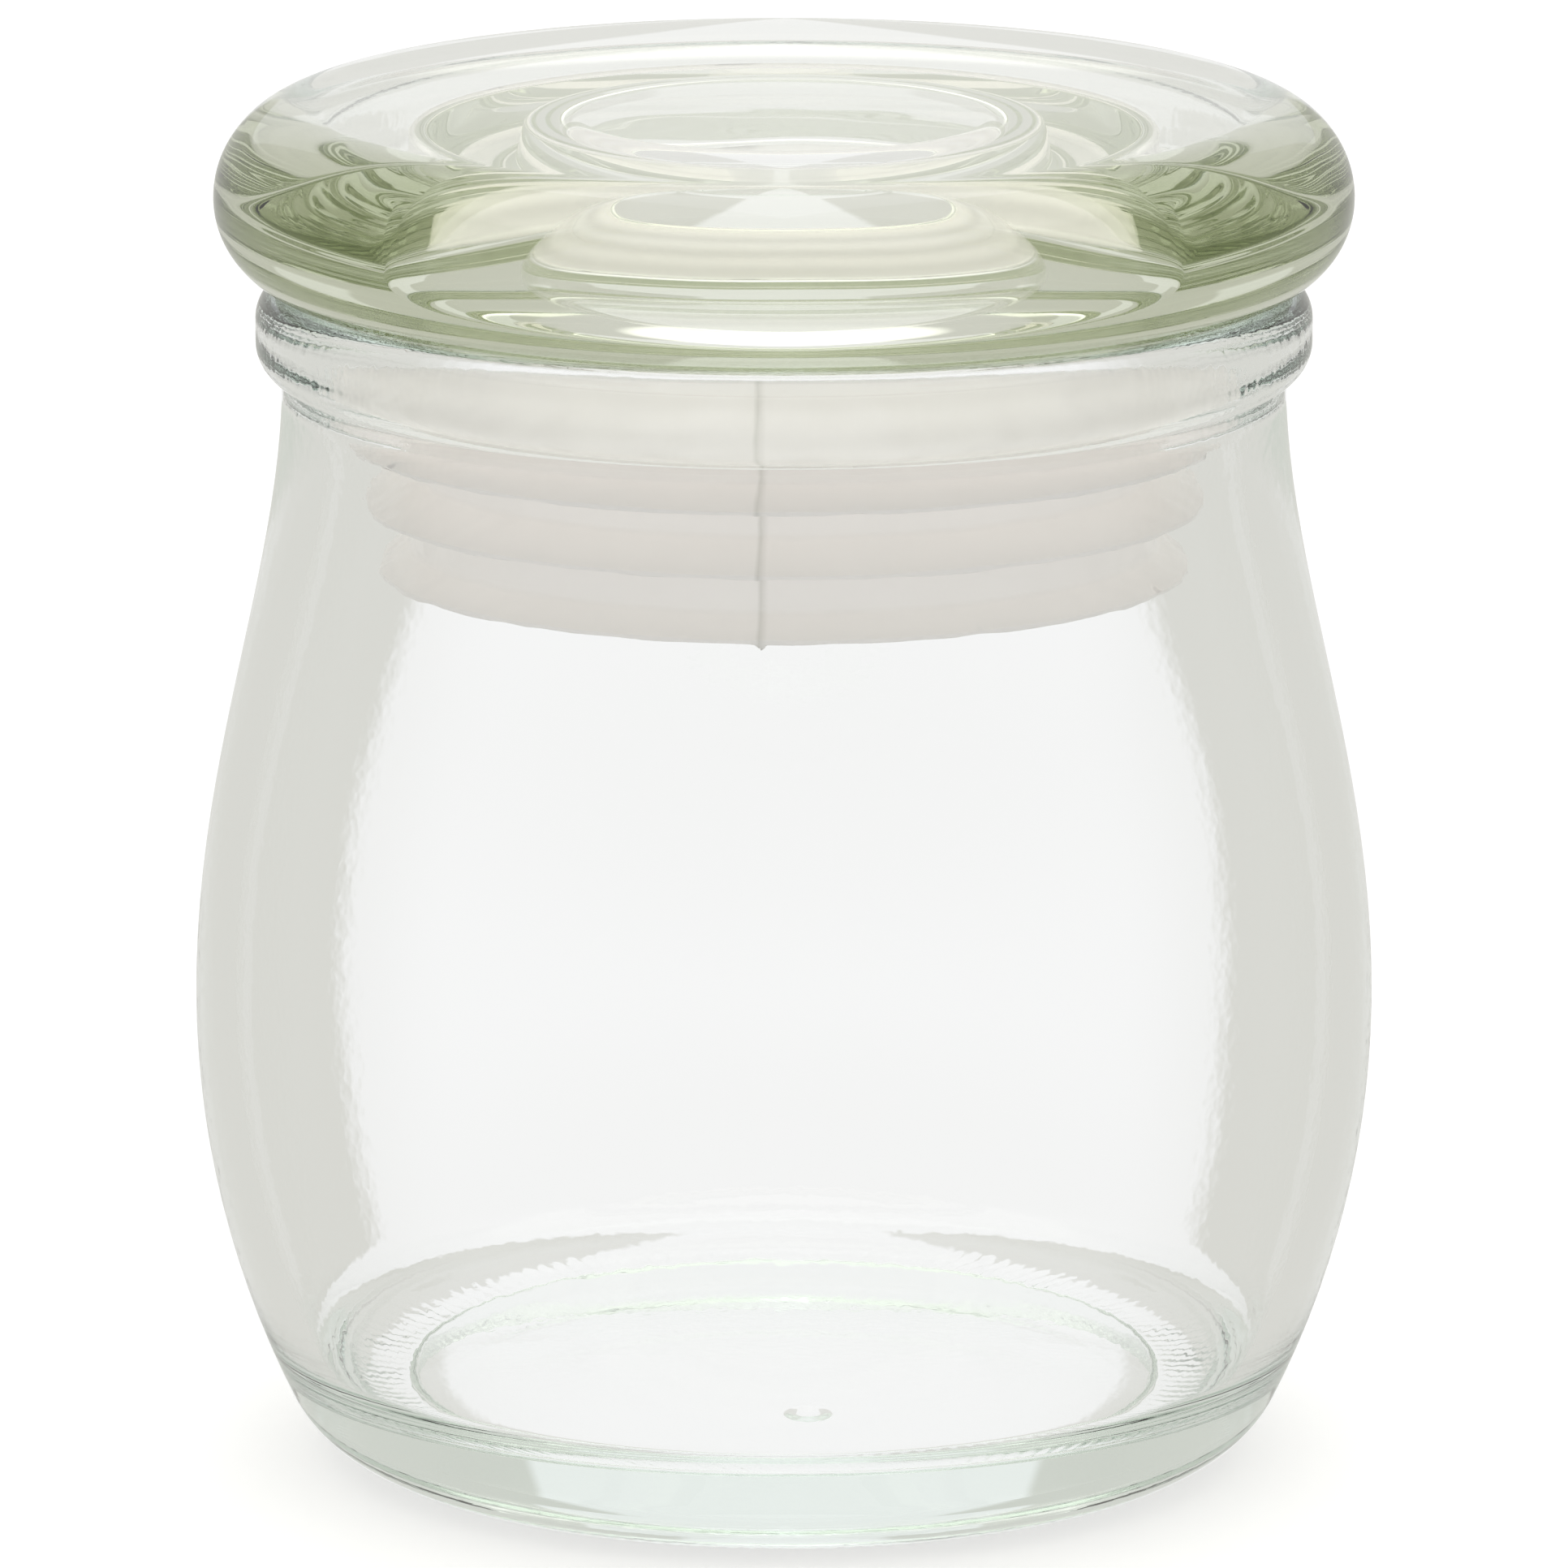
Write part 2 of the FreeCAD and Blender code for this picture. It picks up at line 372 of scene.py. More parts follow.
@dataclass(frozen=True)
class GlassFinish:
    """Clear soda-lime glass.

    The tint comes from iron in the melt, so it is an absorption through the thickness and
    hardly shows in a thin wall. A pressed inner face keeps the fine ripple of the chilled
    plunger, while the outer face is fire polished and smooth.
    """

    name: str
    tint: str
    density: float
    ripple_size: float
    ripple_height: float
    ior: float = 1.52
    roughness: float = 0.0

    def material(self) -> bpy.types.Material:
        """The glass as a node material that reads the point attribute 'pressed'."""
        material, tree = new_tree(self.name)
        place = add(tree, "ShaderNodeTexCoord")
        coarse = add(tree, "ShaderNodeTexNoise", Vector=place.outputs["Object"],
                     Scale=1 / (self.ripple_size * MM), Detail=1.0, Roughness=0.55)
        pressed = add(tree, "ShaderNodeAttribute", {"attribute_name": "pressed"})
        height = add(tree, "ShaderNodeMath", {"operation": "MULTIPLY"},
                     in0=coarse.outputs["Fac"], in1=pressed.outputs["Fac"])
        bump = add(tree, "ShaderNodeBump", Strength=1.0, Distance=self.ripple_height * MM,
                   Height=height.outputs["Value"])
        glass = add(tree, "ShaderNodeBsdfPrincipled", Base_Color=(1, 1, 1, 1),
                    Roughness=self.roughness, IOR=self.ior, Transmission_Weight=1.0,
                    Normal=bump.outputs["Normal"])
        tint = add(tree, "ShaderNodeVolumeAbsorption", Color=linear(self.tint),
                   Density=self.density)
        add(tree, "ShaderNodeOutputMaterial", Surface=glass.outputs["BSDF"],
            Volume=tint.outputs["Volume"])
        return material


@dataclass(frozen=True)
class MouldedFinish:
    """Soft low-density polyethylene, injection moulded: cloudy, with a satin skin. It is too
    cloudy to see through, so the light that crosses it is painted in as a faint even glow:
    an emission, though the plastic is no lamp."""

    name: str
    colour: str
    seam_colour: str
    roughness: float
    # Strengths of painted light: an emitted glow on the outer side, and a stronger one on the side that
    # faces the plug
    glow: float
    lit_glow: float
    sheen: float
    cloud_size: float = 3.0

    def material(self) -> bpy.types.Material:
        """The plastic as a node material that reads the point attribute 'seam' and the point
        attribute that masks its painted glow.

        The glow is painted light: an emission that stands in for light that has crossed the thin
        wall, and it is stronger where the mask is one: on the side that faces the plug.
        """
        material, tree = new_tree(self.name)
        place = add(tree, "ShaderNodeTexCoord")
        cloud = add(tree, "ShaderNodeTexNoise", Vector=place.outputs["Object"],
                    Scale=1 / (self.cloud_size * MM), Detail=3.0)
        shade = add(tree, "ShaderNodeValToRGB", Fac=cloud.outputs["Fac"])
        shade.color_ramp.elements[0].color = tuple(0.95 * c for c in linear(self.colour)[:3]) + (1,)
        shade.color_ramp.elements[1].color = linear(self.colour)
        seam = add(tree, "ShaderNodeAttribute", {"attribute_name": "seam"})
        tone = add(tree, "ShaderNodeMix", {"data_type": "RGBA"}, in0=seam.outputs["Fac"],
                   in6=shade.outputs["Color"], in7=linear(self.seam_colour))
        # Painted light: an emitted glow, mixed between the outer and the plug-side strengths by the
        # glow mask
        lit = add(tree, "ShaderNodeAttribute", {"attribute_name": "lit"})
        outer, inner = ((*[strength * c for c in linear(self.colour)[:3]], 1.0)
                        for strength in (self.glow, self.lit_glow))
        glow = add(tree, "ShaderNodeMix", {"data_type": "RGBA"}, in0=lit.outputs["Fac"],
                   in6=outer, in7=inner)
        skin = add(tree, "ShaderNodeBsdfPrincipled", Base_Color=tone.outputs[2],
                   Roughness=self.roughness, IOR=1.51, Specular_IOR_Level=self.sheen,
                   Emission_Color=glow.outputs[2], Emission_Strength=1.0)
        add(tree, "ShaderNodeOutputMaterial", Surface=skin.outputs["BSDF"])
        return material


# ---- pieces -------------------------------------------------------------------------------


@dataclass
class Jar:
    """The bellied jar: one closed glass body, from the inside of its floor over the rim and
    the bead down to the recessed base."""

    belly_radius: float = 35.0
    belly_height: float = 27.5
    lower_body_arc: float = 54.5
    heel_rounding: float = 7.0
    shoulder_fullness: float = 14.7
    shoulder_reach: float = 11.8
    neck_radius: float = 29.6
    rim_height: float = 70.5
    bead_height: float = 5.3
    bead_projection: float = 1.55
    bead_lower_rounding: float = 2.1
    bead_upper_rounding: float = 1.9
    wall: float = 2.45
    neck_wall: float = 2.6
    lip_rounding: float = 0.9
    bore_depth: float = 7.5
    floor_height: float = 6.0
    inner_heel_rounding: float = 3.5
    bearing_width: float = 0.8
    recess_depth: float = 1.2
    recess_crown: float = 0.6
    step_rounding: float = 0.5
    rim_gap: float = 0.04
    knurl_count: int = 140
    knurl_depth: float = 0.10
    knurl_length: float = 4.2
    knurl_offset: float = 1.3
    pip_radius: float = 1.5
    pip_height: float = 0.25
    pip_place: tuple[float, float] = (1.4, -11.6)
    mouth_ripple: float = 5.0
    bead_ripple: float = 2.5
    columns: int = 560
    inside_waves: Waves = Waves(11, 24, 5.0, 14.0, 0.002)
    mouth_waves: Waves = Waves(12, 30, 1.4, 3.5, 0.008, 4.0)
    finish: GlassFinish = GlassFinish("soda_lime_glass_blue_green", "#b6dac7", 5.0, 0.9, 0.004)

    def heel_centre(self, belly: float, body_arc: float, heel: float, bottom: float) -> float:
        """Radius at which the heel's arc is centred so that it meets the body's arc smoothly."""
        rise = self.belly_height - bottom - heel
        return belly - body_arc + math.sqrt((body_arc - heel) ** 2 - rise ** 2)

    def side(self, belly: float, body_arc: float, heel: float, bottom: float, neck: float,
             neck_height: float) -> np.ndarray:
        """Outline of one face of the wall: the heel's arc, the lower body's arc up to the belly
        and a cubic curve with upright ends from the belly to the neck."""
        centre = (self.heel_centre(belly, body_arc, heel, bottom), bottom + heel)
        body_centre = (belly - body_arc, self.belly_height)
        meeting = math.degrees(math.atan2(centre[1] - body_centre[1], centre[0] - body_centre[0]))
        return joined(
            arc(centre, heel, -90, meeting, 12),
            arc(body_centre, body_arc, meeting, 0, 14),
            bezier([(belly, self.belly_height), (belly, self.belly_height + self.shoulder_fullness),
                    (neck, neck_height - self.shoulder_reach), (neck, neck_height)], 22))

    def inside(self) -> np.ndarray:
        """Outline of the inside, from the middle of the floor to the bore of the mouth."""
        belly, body_arc = self.belly_radius - self.wall, self.lower_body_arc - self.wall
        bore = self.neck_radius - self.neck_wall
        edge = self.heel_centre(belly, body_arc, self.inner_heel_rounding, self.floor_height)
        return joined(
            straight((0, self.floor_height), (edge, self.floor_height), 0.3, 4),
            self.side(belly, body_arc, self.inner_heel_rounding, self.floor_height, bore,
                      self.rim_height - self.bore_depth))

    def rim(self) -> np.ndarray:
        """Outline of the lip, the flat rim and the bead, down to the neck."""
        bore = self.neck_radius - self.neck_wall
        top = self.rim_height - self.rim_gap
        bead = self.neck_radius + self.bead_projection
        lower, upper = self.bead_lower_rounding, self.bead_upper_rounding
        start = math.acos((lower - self.bead_projection) / lower)
        lower_height = self.rim_height - self.bead_height + lower * math.sin(start)
        lip = (bore + self.lip_rounding, top - self.lip_rounding)
        return joined(
            straight((bore, self.rim_height - self.bore_depth), (bore, lip[1]), 0.2, 3),
            arc(lip, self.lip_rounding, 180, 90, 6),
            straight((lip[0], top), (bead - upper, top), 0.1),
            arc((bead - upper, top - upper), upper, 90, 0, 9),
            straight((bead, top - upper), (bead, lower_height), 0.1),
            arc((bead - lower, lower_height), lower, 0, -math.degrees(start), 9))

    def base(self) -> np.ndarray:
        """Outline of the underside, from the outer edge of the bearing ring to the middle."""
        outer = self.heel_centre(self.belly_radius, self.lower_body_arc, self.heel_rounding, 0)
        inner = outer - self.bearing_width
        step = inner - self.step_rounding
        crown = (step ** 2 + self.recess_crown ** 2) / (2 * self.recess_crown)
        edge = math.degrees(math.acos(step / crown))
        top = (0, self.recess_depth + self.recess_crown - crown)
        reach = math.hypot(*self.pip_place)
        spans = [edge] + [math.degrees(math.acos(r / crown)) for r in
                          (reach + self.pip_radius + 0.3, reach - self.pip_radius - 0.3)] + [90]
        return joined(
            straight((outer, 0), (inner, 0), 0.05, 5),
            straight((inner, 0), (inner, self.recess_depth - self.step_rounding), 0.05),
            arc((step, self.recess_depth - self.step_rounding), self.step_rounding, 0, 90, 5),
            arc(top, crown, spans[0], spans[1], 4),
            arc(top, crown, spans[1], spans[2], 14),
            arc(top, crown, spans[2], spans[3], 5))

    def outline(self) -> tuple[np.ndarray, np.ndarray]:
        """The whole closed outline and the face that each of its points belongs to.

        Returns:
            Rows of radius and height, and one Face value per row.
        """
        outside = self.side(self.belly_radius, self.lower_body_arc, self.heel_rounding, 0,
                            self.neck_radius, self.rim_height - self.bead_height)[::-1]
        stretches = [(self.inside(), Face.INSIDE), (self.rim(), Face.OUTSIDE),
                     (outside, Face.OUTSIDE), (self.base(), Face.BASE)]
        points = [stretches[0][0]] + [stretch[1:] for stretch, _ in stretches[1:]]
        faces = [np.full(len(p), face.value) for p, (_, face) in zip(points, stretches)]
        return np.concatenate(points), np.concatenate(faces)

    def knurl(self, outline: np.ndarray, angles: np.ndarray, faces: np.ndarray) -> np.ndarray:
        """Worn stipple on the bearing ring, which keeps the hot jar off the conveyor: a raised
        cosine round the ring, within a smooth window of radius, that slants with the radius
        and is deeper at some angles than at others."""
        outer = self.heel_centre(self.belly_radius, self.lower_body_arc, self.heel_rounding, 0)
        middle = outer + self.knurl_offset
        near = np.clip(1 - ((outline[:, 0] - middle) / (self.knurl_length / 2)) ** 2, 0, 1)
        low = (outline[:, 1] < 1.2) & (faces != Face.INSIDE.value)
        slant = 1.4 * (outline[:, 0] - middle)[:, None]
        wave = 0.5 + 0.5 * np.cos(self.knurl_count * angles[None, :] + slant)
        worn = 0.6 + 0.2 * np.sin(7 * angles + 1.0) + 0.2 * np.sin(23 * angles + 2.0)
        return -self.knurl_depth * (near * low)[:, None] * wave * worn[None, :]

    def pip(self, outline: np.ndarray, angles: np.ndarray, faces: np.ndarray) -> np.ndarray:
        """A plain round pip that stands out of the recessed base: its height times one less the
        square of the distance from its middle over its radius, squared again to fade out."""
        across = np.stack([outline[:, 0, None] * np.cos(angles),
                           outline[:, 0, None] * np.sin(angles)], 2) - np.array(self.pip_place)
        near = np.clip(1 - (np.sum(across ** 2, axis=2) / self.pip_radius ** 2) ** 2, 0, 1)
        return self.pip_height * near ** 2 * (faces == Face.BASE.value)[:, None]

    def pressed(self, outline: np.ndarray) -> np.ndarray:
        """How strongly each point shows the tool's ripple: one inside, more in the mouth and
        round the bead, where the glass froze first, and nought on the fire-polished outside.

        Args:
            outline: Rows of radius and height of the whole jar, starting inside.

        Returns:
            One value per row.
        """
        height, peak = outline[:, 1], int(np.argmax(outline[:, 1]))
        order = np.arange(len(outline))
        top = height[peak]
        mouth = np.clip((height - (self.rim_height - self.bore_depth - 3.0)) / 3.0, 0, 1)
        lip = np.clip((top - height) / self.lip_rounding, 0, 1)
        bead = np.clip((height - (self.rim_height - self.bead_height - 2.5)) / 2.5, 0, 1)
        return np.where(order <= peak, (1 + (self.mouth_ripple - 1) * mouth) * lip,
                        self.bead_ripple * bead * lip)

    def build(self) -> bpy.types.Object:
        """The jar's object, dressed in its glass.

        Returns:
            The object, linked to the scene.
        """
        outline, faces = self.outline()
        shape = Revolved("jar_glass", outline, self.columns)
        angles = shape.angles()
        pressed = self.pressed(outline)
        waves = self.inside_waves.relief(outline, angles)
        mouth = self.mouth_waves.relief(outline, angles)
        shape.relief = (waves * np.minimum(pressed, 1)[:, None]
                        + mouth * (np.clip(pressed - 1, 0, None) / self.mouth_ripple)[:, None]
                        + self.knurl(outline, angles, faces) + self.pip(outline, angles, faces))
        shape.marks = {"pressed": pressed}
        piece = shape.build()
        piece.data.materials.append(self.finish.material())
        return piece


@dataclass
class Lid:
    """The glass lid: a thick disc with a fully rounded rim, and a plug that is hollow from
    its end."""

    radius: float = 33.55
    underside: float = 70.5
    thickness: float = 10.9
    lower_edge: float = 5.25
    plug_radius: float = 20.8
    plug_depth: float = 15.2
    plug_draft: float = 0.5
    plug_root_rounding: float = 1.0
    plug_end_rounding: float = 1.4
    hollow_radius: float = 15.2
    hollow_draft: float = 0.7
    hollow_roof: float = 6.2
    hollow_rounding: float = 3.0
    columns: int = 512
    waves: Waves = Waves(5, 20, 5.0, 12.0, 0.003)
    finish: GlassFinish = GlassFinish("soda_lime_glass_yellow_green", "#cbd3ac", 14.0, 2.5, 0.0)

    def outline(self) -> np.ndarray:
        """Outline from the middle of the top, over the rim and the plug to the hollow's roof."""
        upper = self.thickness - self.lower_edge
        top, widest = self.underside + self.thickness, self.underside + self.lower_edge
        end = self.underside - self.plug_depth
        roof = top - self.hollow_roof
        below = rounded([
            (self.radius - self.lower_edge, self.underside, 0.0),
            (self.plug_radius, self.underside, self.plug_root_rounding),
            (self.plug_radius - self.plug_draft, end, self.plug_end_rounding),
            (self.hollow_radius + self.hollow_draft, end, self.plug_end_rounding),
            (self.hollow_radius, roof, self.hollow_rounding),
            (0.0, roof, 0.0)], False, 8)
        return joined(
            straight((0, top), (self.radius - upper, top), 0.3, 6),
            arc((self.radius - upper, widest), upper, 90, 0, 20),
            arc((self.radius - self.lower_edge, widest), self.lower_edge, 0, -90, 20),
            self.supported(below))

    @staticmethod
    def supported(points: np.ndarray, margin: float = 0.3) -> np.ndarray:
        """The same outline with points added close to both ends of its long stretches, so that
        they shade flat, and even steps between those."""
        stretches = []
        for start, end in zip(points, points[1:]):
            length = float(np.linalg.norm(end - start))
            steps = max(int(length / 1.6), 1)
            stretches.append(straight(start, end, margin, steps) if length > 1.0
                             else np.array([start, end]))
        return joined(*stretches)

    def build(self) -> bpy.types.Object:
        """The lid's object, dressed in its glass.

        Returns:
            The object, linked to the scene.
        """
        outline = self.outline()
        shape = Revolved("lid_glass", outline, self.columns)
        shape.relief = self.waves.relief(outline, shape.angles())
        shape.marks = {"pressed": np.zeros(len(outline))}
        piece = shape.build()
        piece.data.materials.append(self.finish.material())
        return piece


@dataclass
class Gasket:
    """The plastic sleeve round the plug, with flexible fins that get shorter downwards, the two
    parting lines of its mould and a small nib of flash at the lower end of one of them."""

    bore_radius: float = 27.0
    rim_height: float = 70.5
    plug_radius: float = 20.8
    plug_draft: float = 0.5
    plug_depth: float = 15.2
    plug_root_rounding: float = 1.0
    sleeve_wall: float = 1.3
    sleeve_clearance: float = 0.1
    top_clearance: float = 0.2
    overhang: float = 1.8
    lip: float = 1.0
    fin_count: int = 4
    first_fin_drop: float = 4.6
    fin_pitch: float = 4.0
    fin_root: float = 1.3
    fin_tip: float = 0.5
    fin_droop: float = 0.45
    fin_clearance: float = 0.15
    fin_taper: float = 0.95
    seam_offset: float = -1.5
    seam_width: float = 0.16
    seam_height: float = 0.05
    nib_width: float = 0.26
    nib_length: float = 0.6
    nib_edge: float = 0.3
    outer_side: float = 0.6
    columns: int = 640
    edge_waves: Waves = Waves(21, 24, 2.0, 6.0, 0.05)
    # The finish paints light in: an emitted glow on the gasket, stronger on the side that faces the
    # plug
    finish: MouldedFinish = MouldedFinish(
        "polyethylene_satin_moulded", colour="#f9f6f2", seam_colour="#c6c4bb", roughness=0.24,
        glow=0.16, lit_glow=0.60, sheen=1.0)

    def fin(self, index: int) -> list[tuple[float, float, float]]:
        """Corners of one fin, from its lower root over its tip to its upper root."""
        tip = self.bore_radius - self.fin_clearance - index * self.fin_taper
        height = self.rim_height - self.first_fin_drop - index * self.fin_pitch
        root = self.plug_radius + self.sleeve_clearance + self.sleeve_wall
        middle = height + self.fin_droop * (tip - root)
        return [(root, middle - self.fin_root / 2, 0.4),
                (tip, height - self.fin_tip / 2, 0.2),
                (tip, height + self.fin_tip / 2, 0.2),
                (root, middle + self.fin_root / 2, 0.4)]

    def outline(self) -> np.ndarray:
        """Closed outline of the sleeve, its fins and the lip that turns in under the plug."""
        inner = self.plug_radius + self.sleeve_clearance
        outer = inner + self.sleeve_wall
        top = self.rim_height - self.top_clearance
        plug_end = self.rim_height - self.plug_depth
        end = plug_end - self.overhang
        lip = self.plug_radius - self.plug_draft - self.lip
        corners = [(inner, plug_end - self.sleeve_clearance, 0.2),
                   (lip, plug_end - self.sleeve_clearance, 0.3),
                   (lip, end, 0.3), (outer, end, 0.5)]
        for index in reversed(range(self.fin_count)):
            corners += self.fin(index)
        corners += [(outer, top, 0.3), (inner + self.plug_root_rounding, top, 0.2),
                    (inner, self.rim_height - self.plug_root_rounding, 0.4)]
        return self.stepped(rounded(corners, True, 4))

    @staticmethod
    def stepped(points: np.ndarray, longest: float = 0.8) -> np.ndarray:
        """The same closed outline with even steps added to its long stretches."""
        ends = np.roll(points, -1, axis=0)
        steps = np.maximum(np.linalg.norm(ends - points, axis=1) / longest, 1).astype(int)
        return np.concatenate([start + (end - start) * np.arange(count)[:, None] / count
                               for start, end, count in zip(points, ends, steps)])

    def painted_shade_behind_fins(self, height: np.ndarray) -> np.ndarray:
        """Share of the painted glow at each height: a painted shade behind the root of every fin,
        by a bell curve about the root's middle."""
        index = np.arange(self.fin_count)[None, :]
        root = self.plug_radius + self.sleeve_clearance + self.sleeve_wall
        tip = self.bore_radius - self.fin_clearance - index * self.fin_taper
        middle = (self.rim_height - self.first_fin_drop - index * self.fin_pitch
                  + self.fin_droop * (tip - root))
        away = (height[:, None] - middle) / self.fin_root
        return 1 - 0.35 * np.exp(-away ** 2).sum(axis=1)

    def bump(self, angles: np.ndarray, turn: float, width: float) -> np.ndarray:
        """A bell curve round the axis: e to the minus square of the distance along the bore
        from the parting line, over the width.

        Args:
            angles: Angles round the axis in radians.
            turn: How far round from the front parting line the curve stands.
            width: Distance at which the curve has fallen to a third.

        Returns:
            One value per angle, one at most.
        """
        line = -math.pi / 2 + self.seam_offset / self.bore_radius + turn
        away = (angles - line + math.pi) % (2 * math.pi) - math.pi
        return np.exp(-(away * self.bore_radius / width) ** 2)

    def build(self) -> bpy.types.Object:
        """The gasket's object, dressed in its plastic.

        Returns:
            The object, linked to the scene.
        """
        outline = self.outline()
        shape = Revolved("gasket_sleeve", outline, self.columns, ring=True)
        angles = shape.angles()
        front = self.bump(angles, 0.0, self.seam_width)
        seams = front + self.bump(angles, math.pi, self.seam_width)
        outer = (outline[:, 0] > self.plug_radius + self.outer_side).astype(float)
        end = self.rim_height - self.plug_depth - self.overhang
        edge = outer * np.clip(1 - (outline[:, 1] - end) / self.nib_edge, 0, 1)
        wavy = self.edge_waves.relief(outline, angles) * outer[:, None]
        shape.relief = (wavy + self.seam_height * outer[:, None] * seams[None, :]
                        + self.nib_length * edge[:, None]
                        * self.bump(angles, 0.0, self.nib_width)[None, :])
        # The second mark masks the painted glow: one on the side that faces the plug, less behind each
        # fin root as painted shade, nought on the outer side
        shape.marks = {"seam": outer[:, None] * np.minimum(seams, 1)[None, :],
                       "lit": (1 - outer) * self.painted_shade_behind_fins(outline[:, 1])}
        piece = shape.build()
        piece.data.materials.append(self.finish.material())
        return piece


# ---- studio -------------------------------------------------------------------------------


@dataclass
class Studio:
    """A plain pale floor under soft studio light, with the camera in front and a little above.

    The surroundings are a pale tent whose walls are brighter in narrow upright panels, one
    every eighth of a turn. Clear glass shows only what is round it, so the panels give it a
    bright middle and soft grey edges from every side.
    """

    camera_distance: float = 780.0
    camera_height: float = 219.0
    aim_height: float = 40.14
    lens: float = 309.479
    sensor: float = 36.0
    panel_half_width: float = 7.4
    sheet_half_width: float = 22.0
    panel_softness: float = 0.8
    panel_light: float = 0.935
    top_light: float = 2.0
    wall_colour: tuple[float, float, float] = (0.695, 0.692, 0.652)
    floor_radius: float = 6.0

    def camera(self) -> None:
        """The camera, looking level-headed at the middle of the jar."""
        data = bpy.data.cameras.new("camera")
        data.sensor_width = self.sensor
        data.lens = self.lens
        data.clip_start, data.clip_end = 0.01, 50.0
        camera = bpy.data.objects.new("camera", data)
        camera.location = (0.0, -self.camera_distance * MM, self.camera_height * MM)
        drop = math.atan2(self.camera_height - self.aim_height, self.camera_distance)
        camera.rotation_euler = (math.pi / 2 - drop, 0.0, 0.0)
        bpy.context.scene.collection.objects.link(camera)
        bpy.context.scene.camera = camera

    def world(self) -> None:
        """The tent, by the direction that a ray leaves in.

        Behind the jar hangs a bright sheet, narrow below the horizon and wider above it. The
        same narrow sheet is repeated every eighth of a turn for light that only crosses the
        glass, so that the jar reads as clear glass from every side.
        """
        world = bpy.data.worlds.new("tent")
        world.use_nodes = True
        tree = world.node_tree
        tree.nodes.clear()
        way = add(tree, "ShaderNodeTexCoord")
        parts = add(tree, "ShaderNodeSeparateXYZ", Vector=way.outputs["Generated"])
        height = parts.outputs["Z"]
        bearing = add(tree, "ShaderNodeMath", {"operation": "ARCTAN2"},
                      in0=parts.outputs["X"], in1=parts.outputs["Y"]).outputs["Value"]
        wide = self.ramp(tree, height, math.sin(math.radians(5)), math.sin(math.radians(12)),
                         math.radians(self.panel_half_width), math.radians(self.sheet_half_width))
        sheet = self.panel(tree, bearing, wide)
        near = self.panel(tree, self.repeated(tree, bearing, 45.0),
                          math.radians(self.panel_half_width))
        far = self.panel(tree, self.repeated(tree, bearing, 90.0), wide)
        low = self.ramp(tree, height, 0.05, 0.12, 1.0, 0.0)
        nearby = add(tree, "ShaderNodeMath", {"operation": "MULTIPLY"}, in0=near, in1=low)
        both = add(tree, "ShaderNodeMath", {"operation": "MAXIMUM"},
                   in0=nearby.outputs["Value"], in1=far)
        path = add(tree, "ShaderNodeLightPath")
        turned = add(tree, "ShaderNodeMath", {"operation": "ADD"},
                     in0=path.outputs["Glossy Depth"], in1=path.outputs["Diffuse Depth"])
        through = add(tree, "ShaderNodeMath", {"operation": "LESS_THAN"},
                      in0=turned.outputs["Value"], in1=0.5)
        clear = add(tree, "ShaderNodeMath", {"operation": "MULTIPLY"},
                    in0=through.outputs["Value"], in1=both.outputs["Value"])
        bright = add(tree, "ShaderNodeMath", {"operation": "MAXIMUM"},
                     in0=clear.outputs["Value"], in1=sheet)
        walls = self.ramp(tree, height, 0.0, 0.35, 1.0, 0.0)
        front = self.ramp(tree, parts.outputs["Y"], -0.3, 0.2, 1.0, 0.0)
        mirrored = add(tree, "ShaderNodeMath", {"operation": "SUBTRACT"},
                       in0=1.0, in1=through.outputs["Value"])
        ahead = add(tree, "ShaderNodeMath", {"operation": "MULTIPLY"}, in0=front, in1=walls)
        glow = add(tree, "ShaderNodeMath", {"operation": "MULTIPLY"},
                   in0=mirrored.outputs["Value"], in1=ahead.outputs["Value"])
        amount = add(tree, "ShaderNodeMath", {"operation": "MAXIMUM"},
                     in0=bright.outputs["Value"], in1=glow.outputs["Value"])
        tone = add(tree, "ShaderNodeMix", {"data_type": "RGBA"})
        tree.links.new(amount.outputs["Value"], tone.inputs["Factor"])
        tone.inputs[6].default_value = (*self.wall_colour, 1.0)
        tone.inputs[7].default_value = (self.panel_light,) * 3 + (1.0,)
        top = self.ramp(tree, height, 0.72, 0.82, 1.0, self.top_light)
        light = add(tree, "ShaderNodeBackground", Color=tone.outputs[2], Strength=top)
        add(tree, "ShaderNodeOutputWorld", Surface=light.outputs["Background"])
        bpy.context.scene.world = world

    @staticmethod
    def ramp(tree: bpy.types.NodeTree, value: bpy.types.NodeSocket, start: float, end: float,
             low: float, high: float) -> bpy.types.NodeSocket:
        """A smooth step from low to high while the value goes from start to end."""
        node = add(tree, "ShaderNodeMapRange", {"interpolation_type": "SMOOTHSTEP"}, Value=value)
        node.inputs["From Min"].default_value = start
        node.inputs["From Max"].default_value = end
        node.inputs["To Min"].default_value = low
        node.inputs["To Max"].default_value = high
        return node.outputs["Result"]

    @staticmethod
    def repeated(tree: bpy.types.NodeTree, bearing: bpy.types.NodeSocket,
                 spacing: float) -> bpy.types.NodeSocket:
        """The bearing measured from the nearest of the directions that are spacing apart."""
        half = math.radians(spacing / 2)
        node = add(tree, "ShaderNodeMath", {"operation": "WRAP"}, in0=bearing, in1=half, in2=-half)
        return node.outputs["Value"]

    def panel(self, tree: bpy.types.NodeTree, bearing: bpy.types.NodeSocket,
              half_width: bpy.types.NodeSocket | float) -> bpy.types.NodeSocket:
        """One within the half width of the bearing's zero, and nought beyond it."""
        size = add(tree, "ShaderNodeMath", {"operation": "ABSOLUTE"}, in0=bearing)
        inside = add(tree, "ShaderNodeMath", {"operation": "SUBTRACT"},
                     in0=half_width, in1=size.outputs["Value"])
        soft = math.radians(self.panel_softness)
        return self.ramp(tree, inside.outputs["Value"], -soft, soft, 0.0, 1.0)

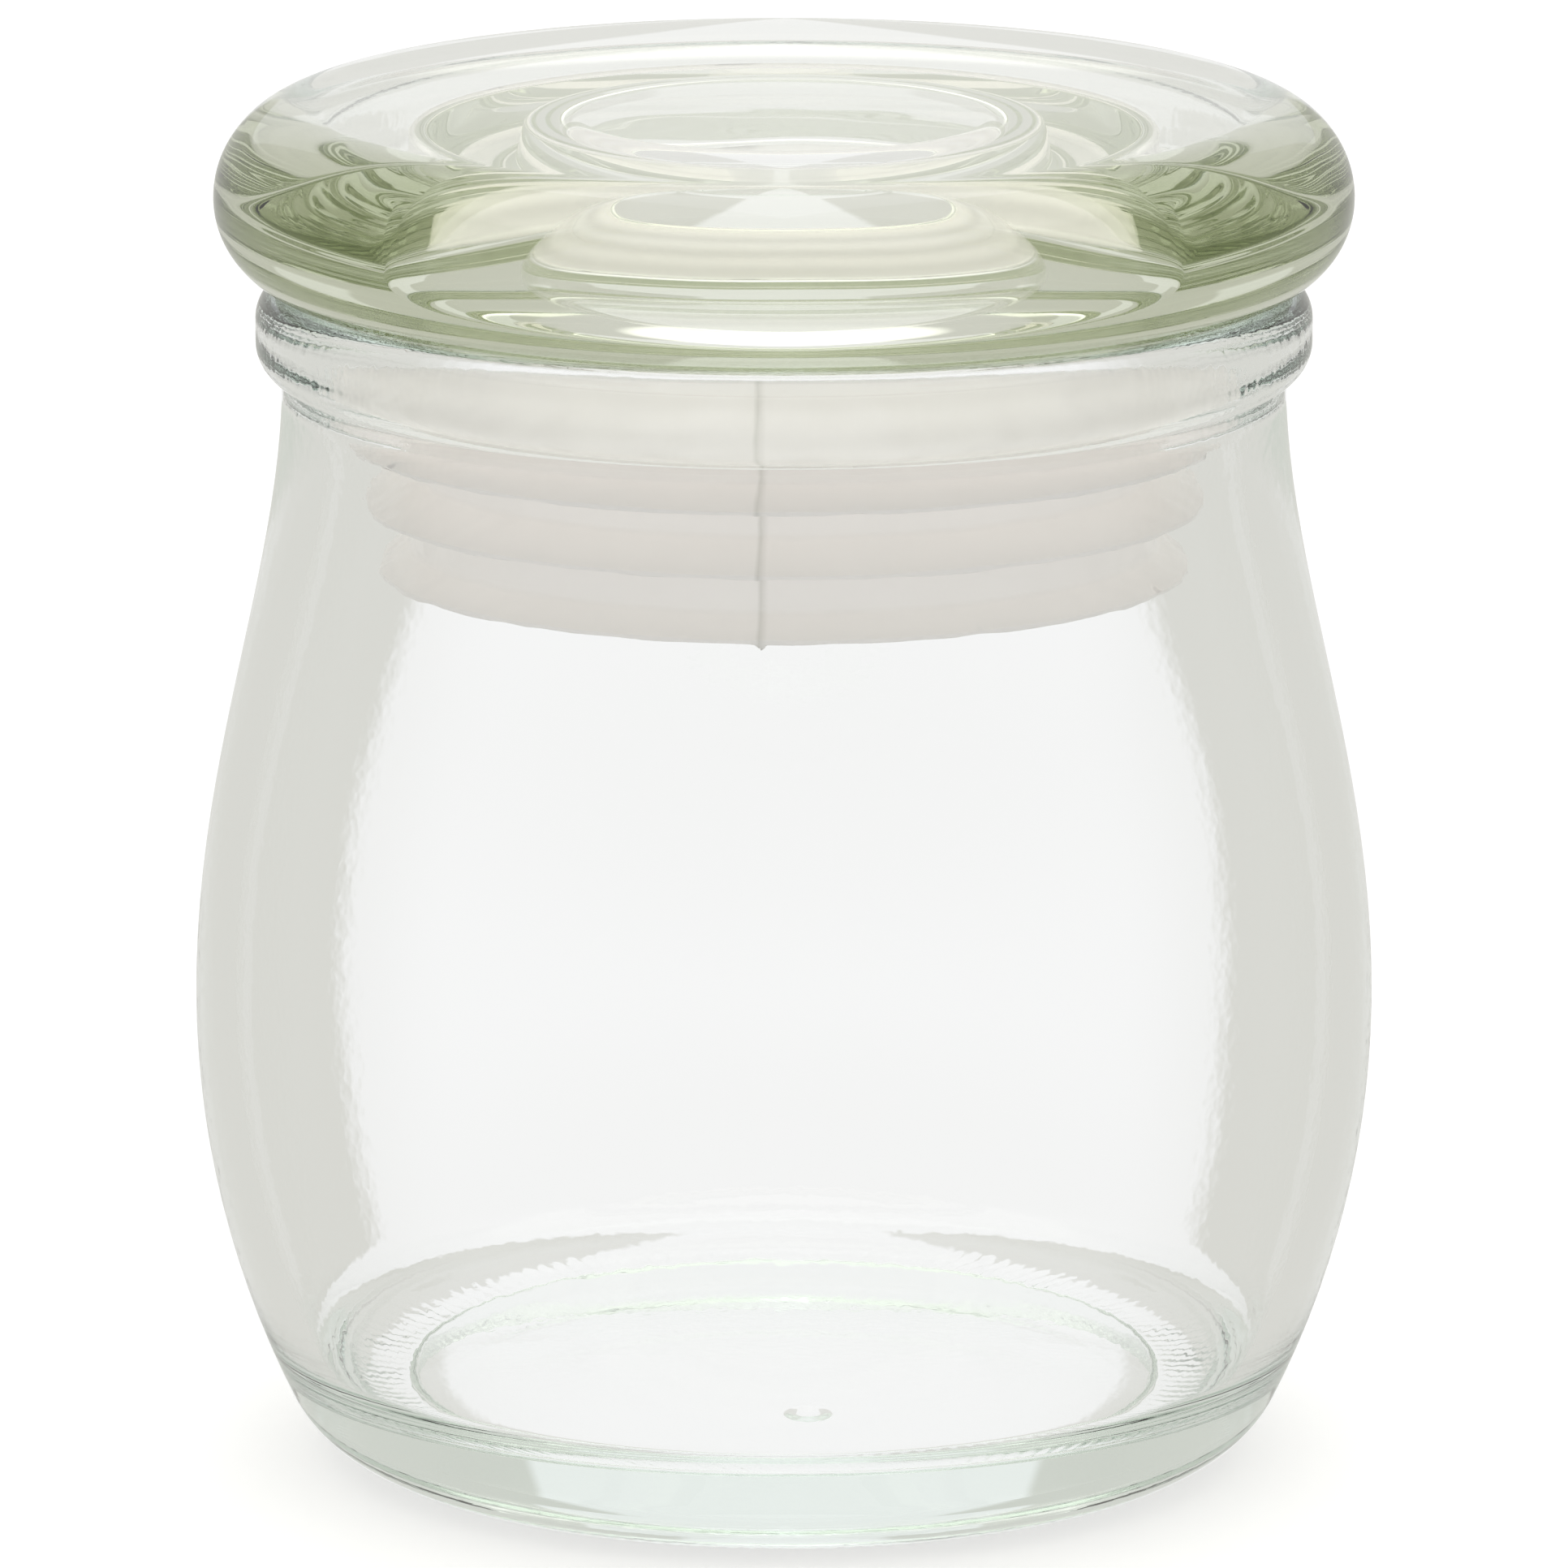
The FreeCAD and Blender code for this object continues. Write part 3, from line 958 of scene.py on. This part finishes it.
    def floor(self) -> None:
        """A round pale floor, level with the jar's bearing ring. The glass shows and mirrors the
        tent in its place, so that no edge of the floor crosses it."""
        angles = np.linspace(0, 2 * math.pi, 96, endpoint=False)
        rim = np.stack([np.cos(angles), np.sin(angles), 0 * angles], 1) * self.floor_radius
        mesh = bpy.data.meshes.new("floor")
        mesh.from_pydata(rim.tolist(), [], [list(range(len(rim)))])
        floor = bpy.data.objects.new("floor", mesh)
        floor.location.z = -0.00002
        bpy.context.scene.collection.objects.link(floor)
        material, tree = new_tree("pale_painted_board")
        place = add(tree, "ShaderNodeTexCoord")
        fine = add(tree, "ShaderNodeTexNoise", Vector=place.outputs["Object"], Scale=40.0)
        tone = add(tree, "ShaderNodeValToRGB", Fac=fine.outputs["Fac"])
        tone.color_ramp.elements[0].color = linear("#d2d2d1")
        tone.color_ramp.elements[1].color = linear("#d6d6d5")
        paint = add(tree, "ShaderNodeBsdfPrincipled", Base_Color=tone.outputs["Color"],
                    Roughness=0.9, Specular_IOR_Level=0.0, Emission_Color=(1, 1, 1, 1),
                    Emission_Strength=0.55)
        add(tree, "ShaderNodeOutputMaterial", Surface=paint.outputs["BSDF"])
        mesh.materials.append(material)
        floor.visible_transmission = False
        floor.visible_glossy = False

    def colour(self) -> None:
        """A plain view transform, and bounces enough for light to cross all the glass."""
        scene = bpy.context.scene
        scene.view_settings.view_transform = "Standard"
        scene.cycles.max_bounces = 40
        scene.cycles.transmission_bounces = 40
        scene.cycles.glossy_bounces = 28

    def build(self) -> None:
        """Set everything up."""
        self.camera()
        self.world()
        self.floor()
        self.colour()


def main() -> None:
    """Build the pieces in order, attach each to the part, and set up the studio."""
    logging.basicConfig(level=logging.INFO, format="%(name)s: %(message)s")
    pieces = [(Jar(), "jar", "jar_glass"), (Lid(), "lid", "lid_glass"),
              (Gasket(), "gasket", "gasket_plastic")]
    for maker, node, slot in pieces:
        piece = maker.build()
        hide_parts(node)
        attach(piece, BODY)
        LOG.info("%s: %d vertices, %d faces", piece.name, len(piece.data.vertices),
                 len(piece.data.polygons))
    Studio().build()


if __name__ == "__main__":
    main()
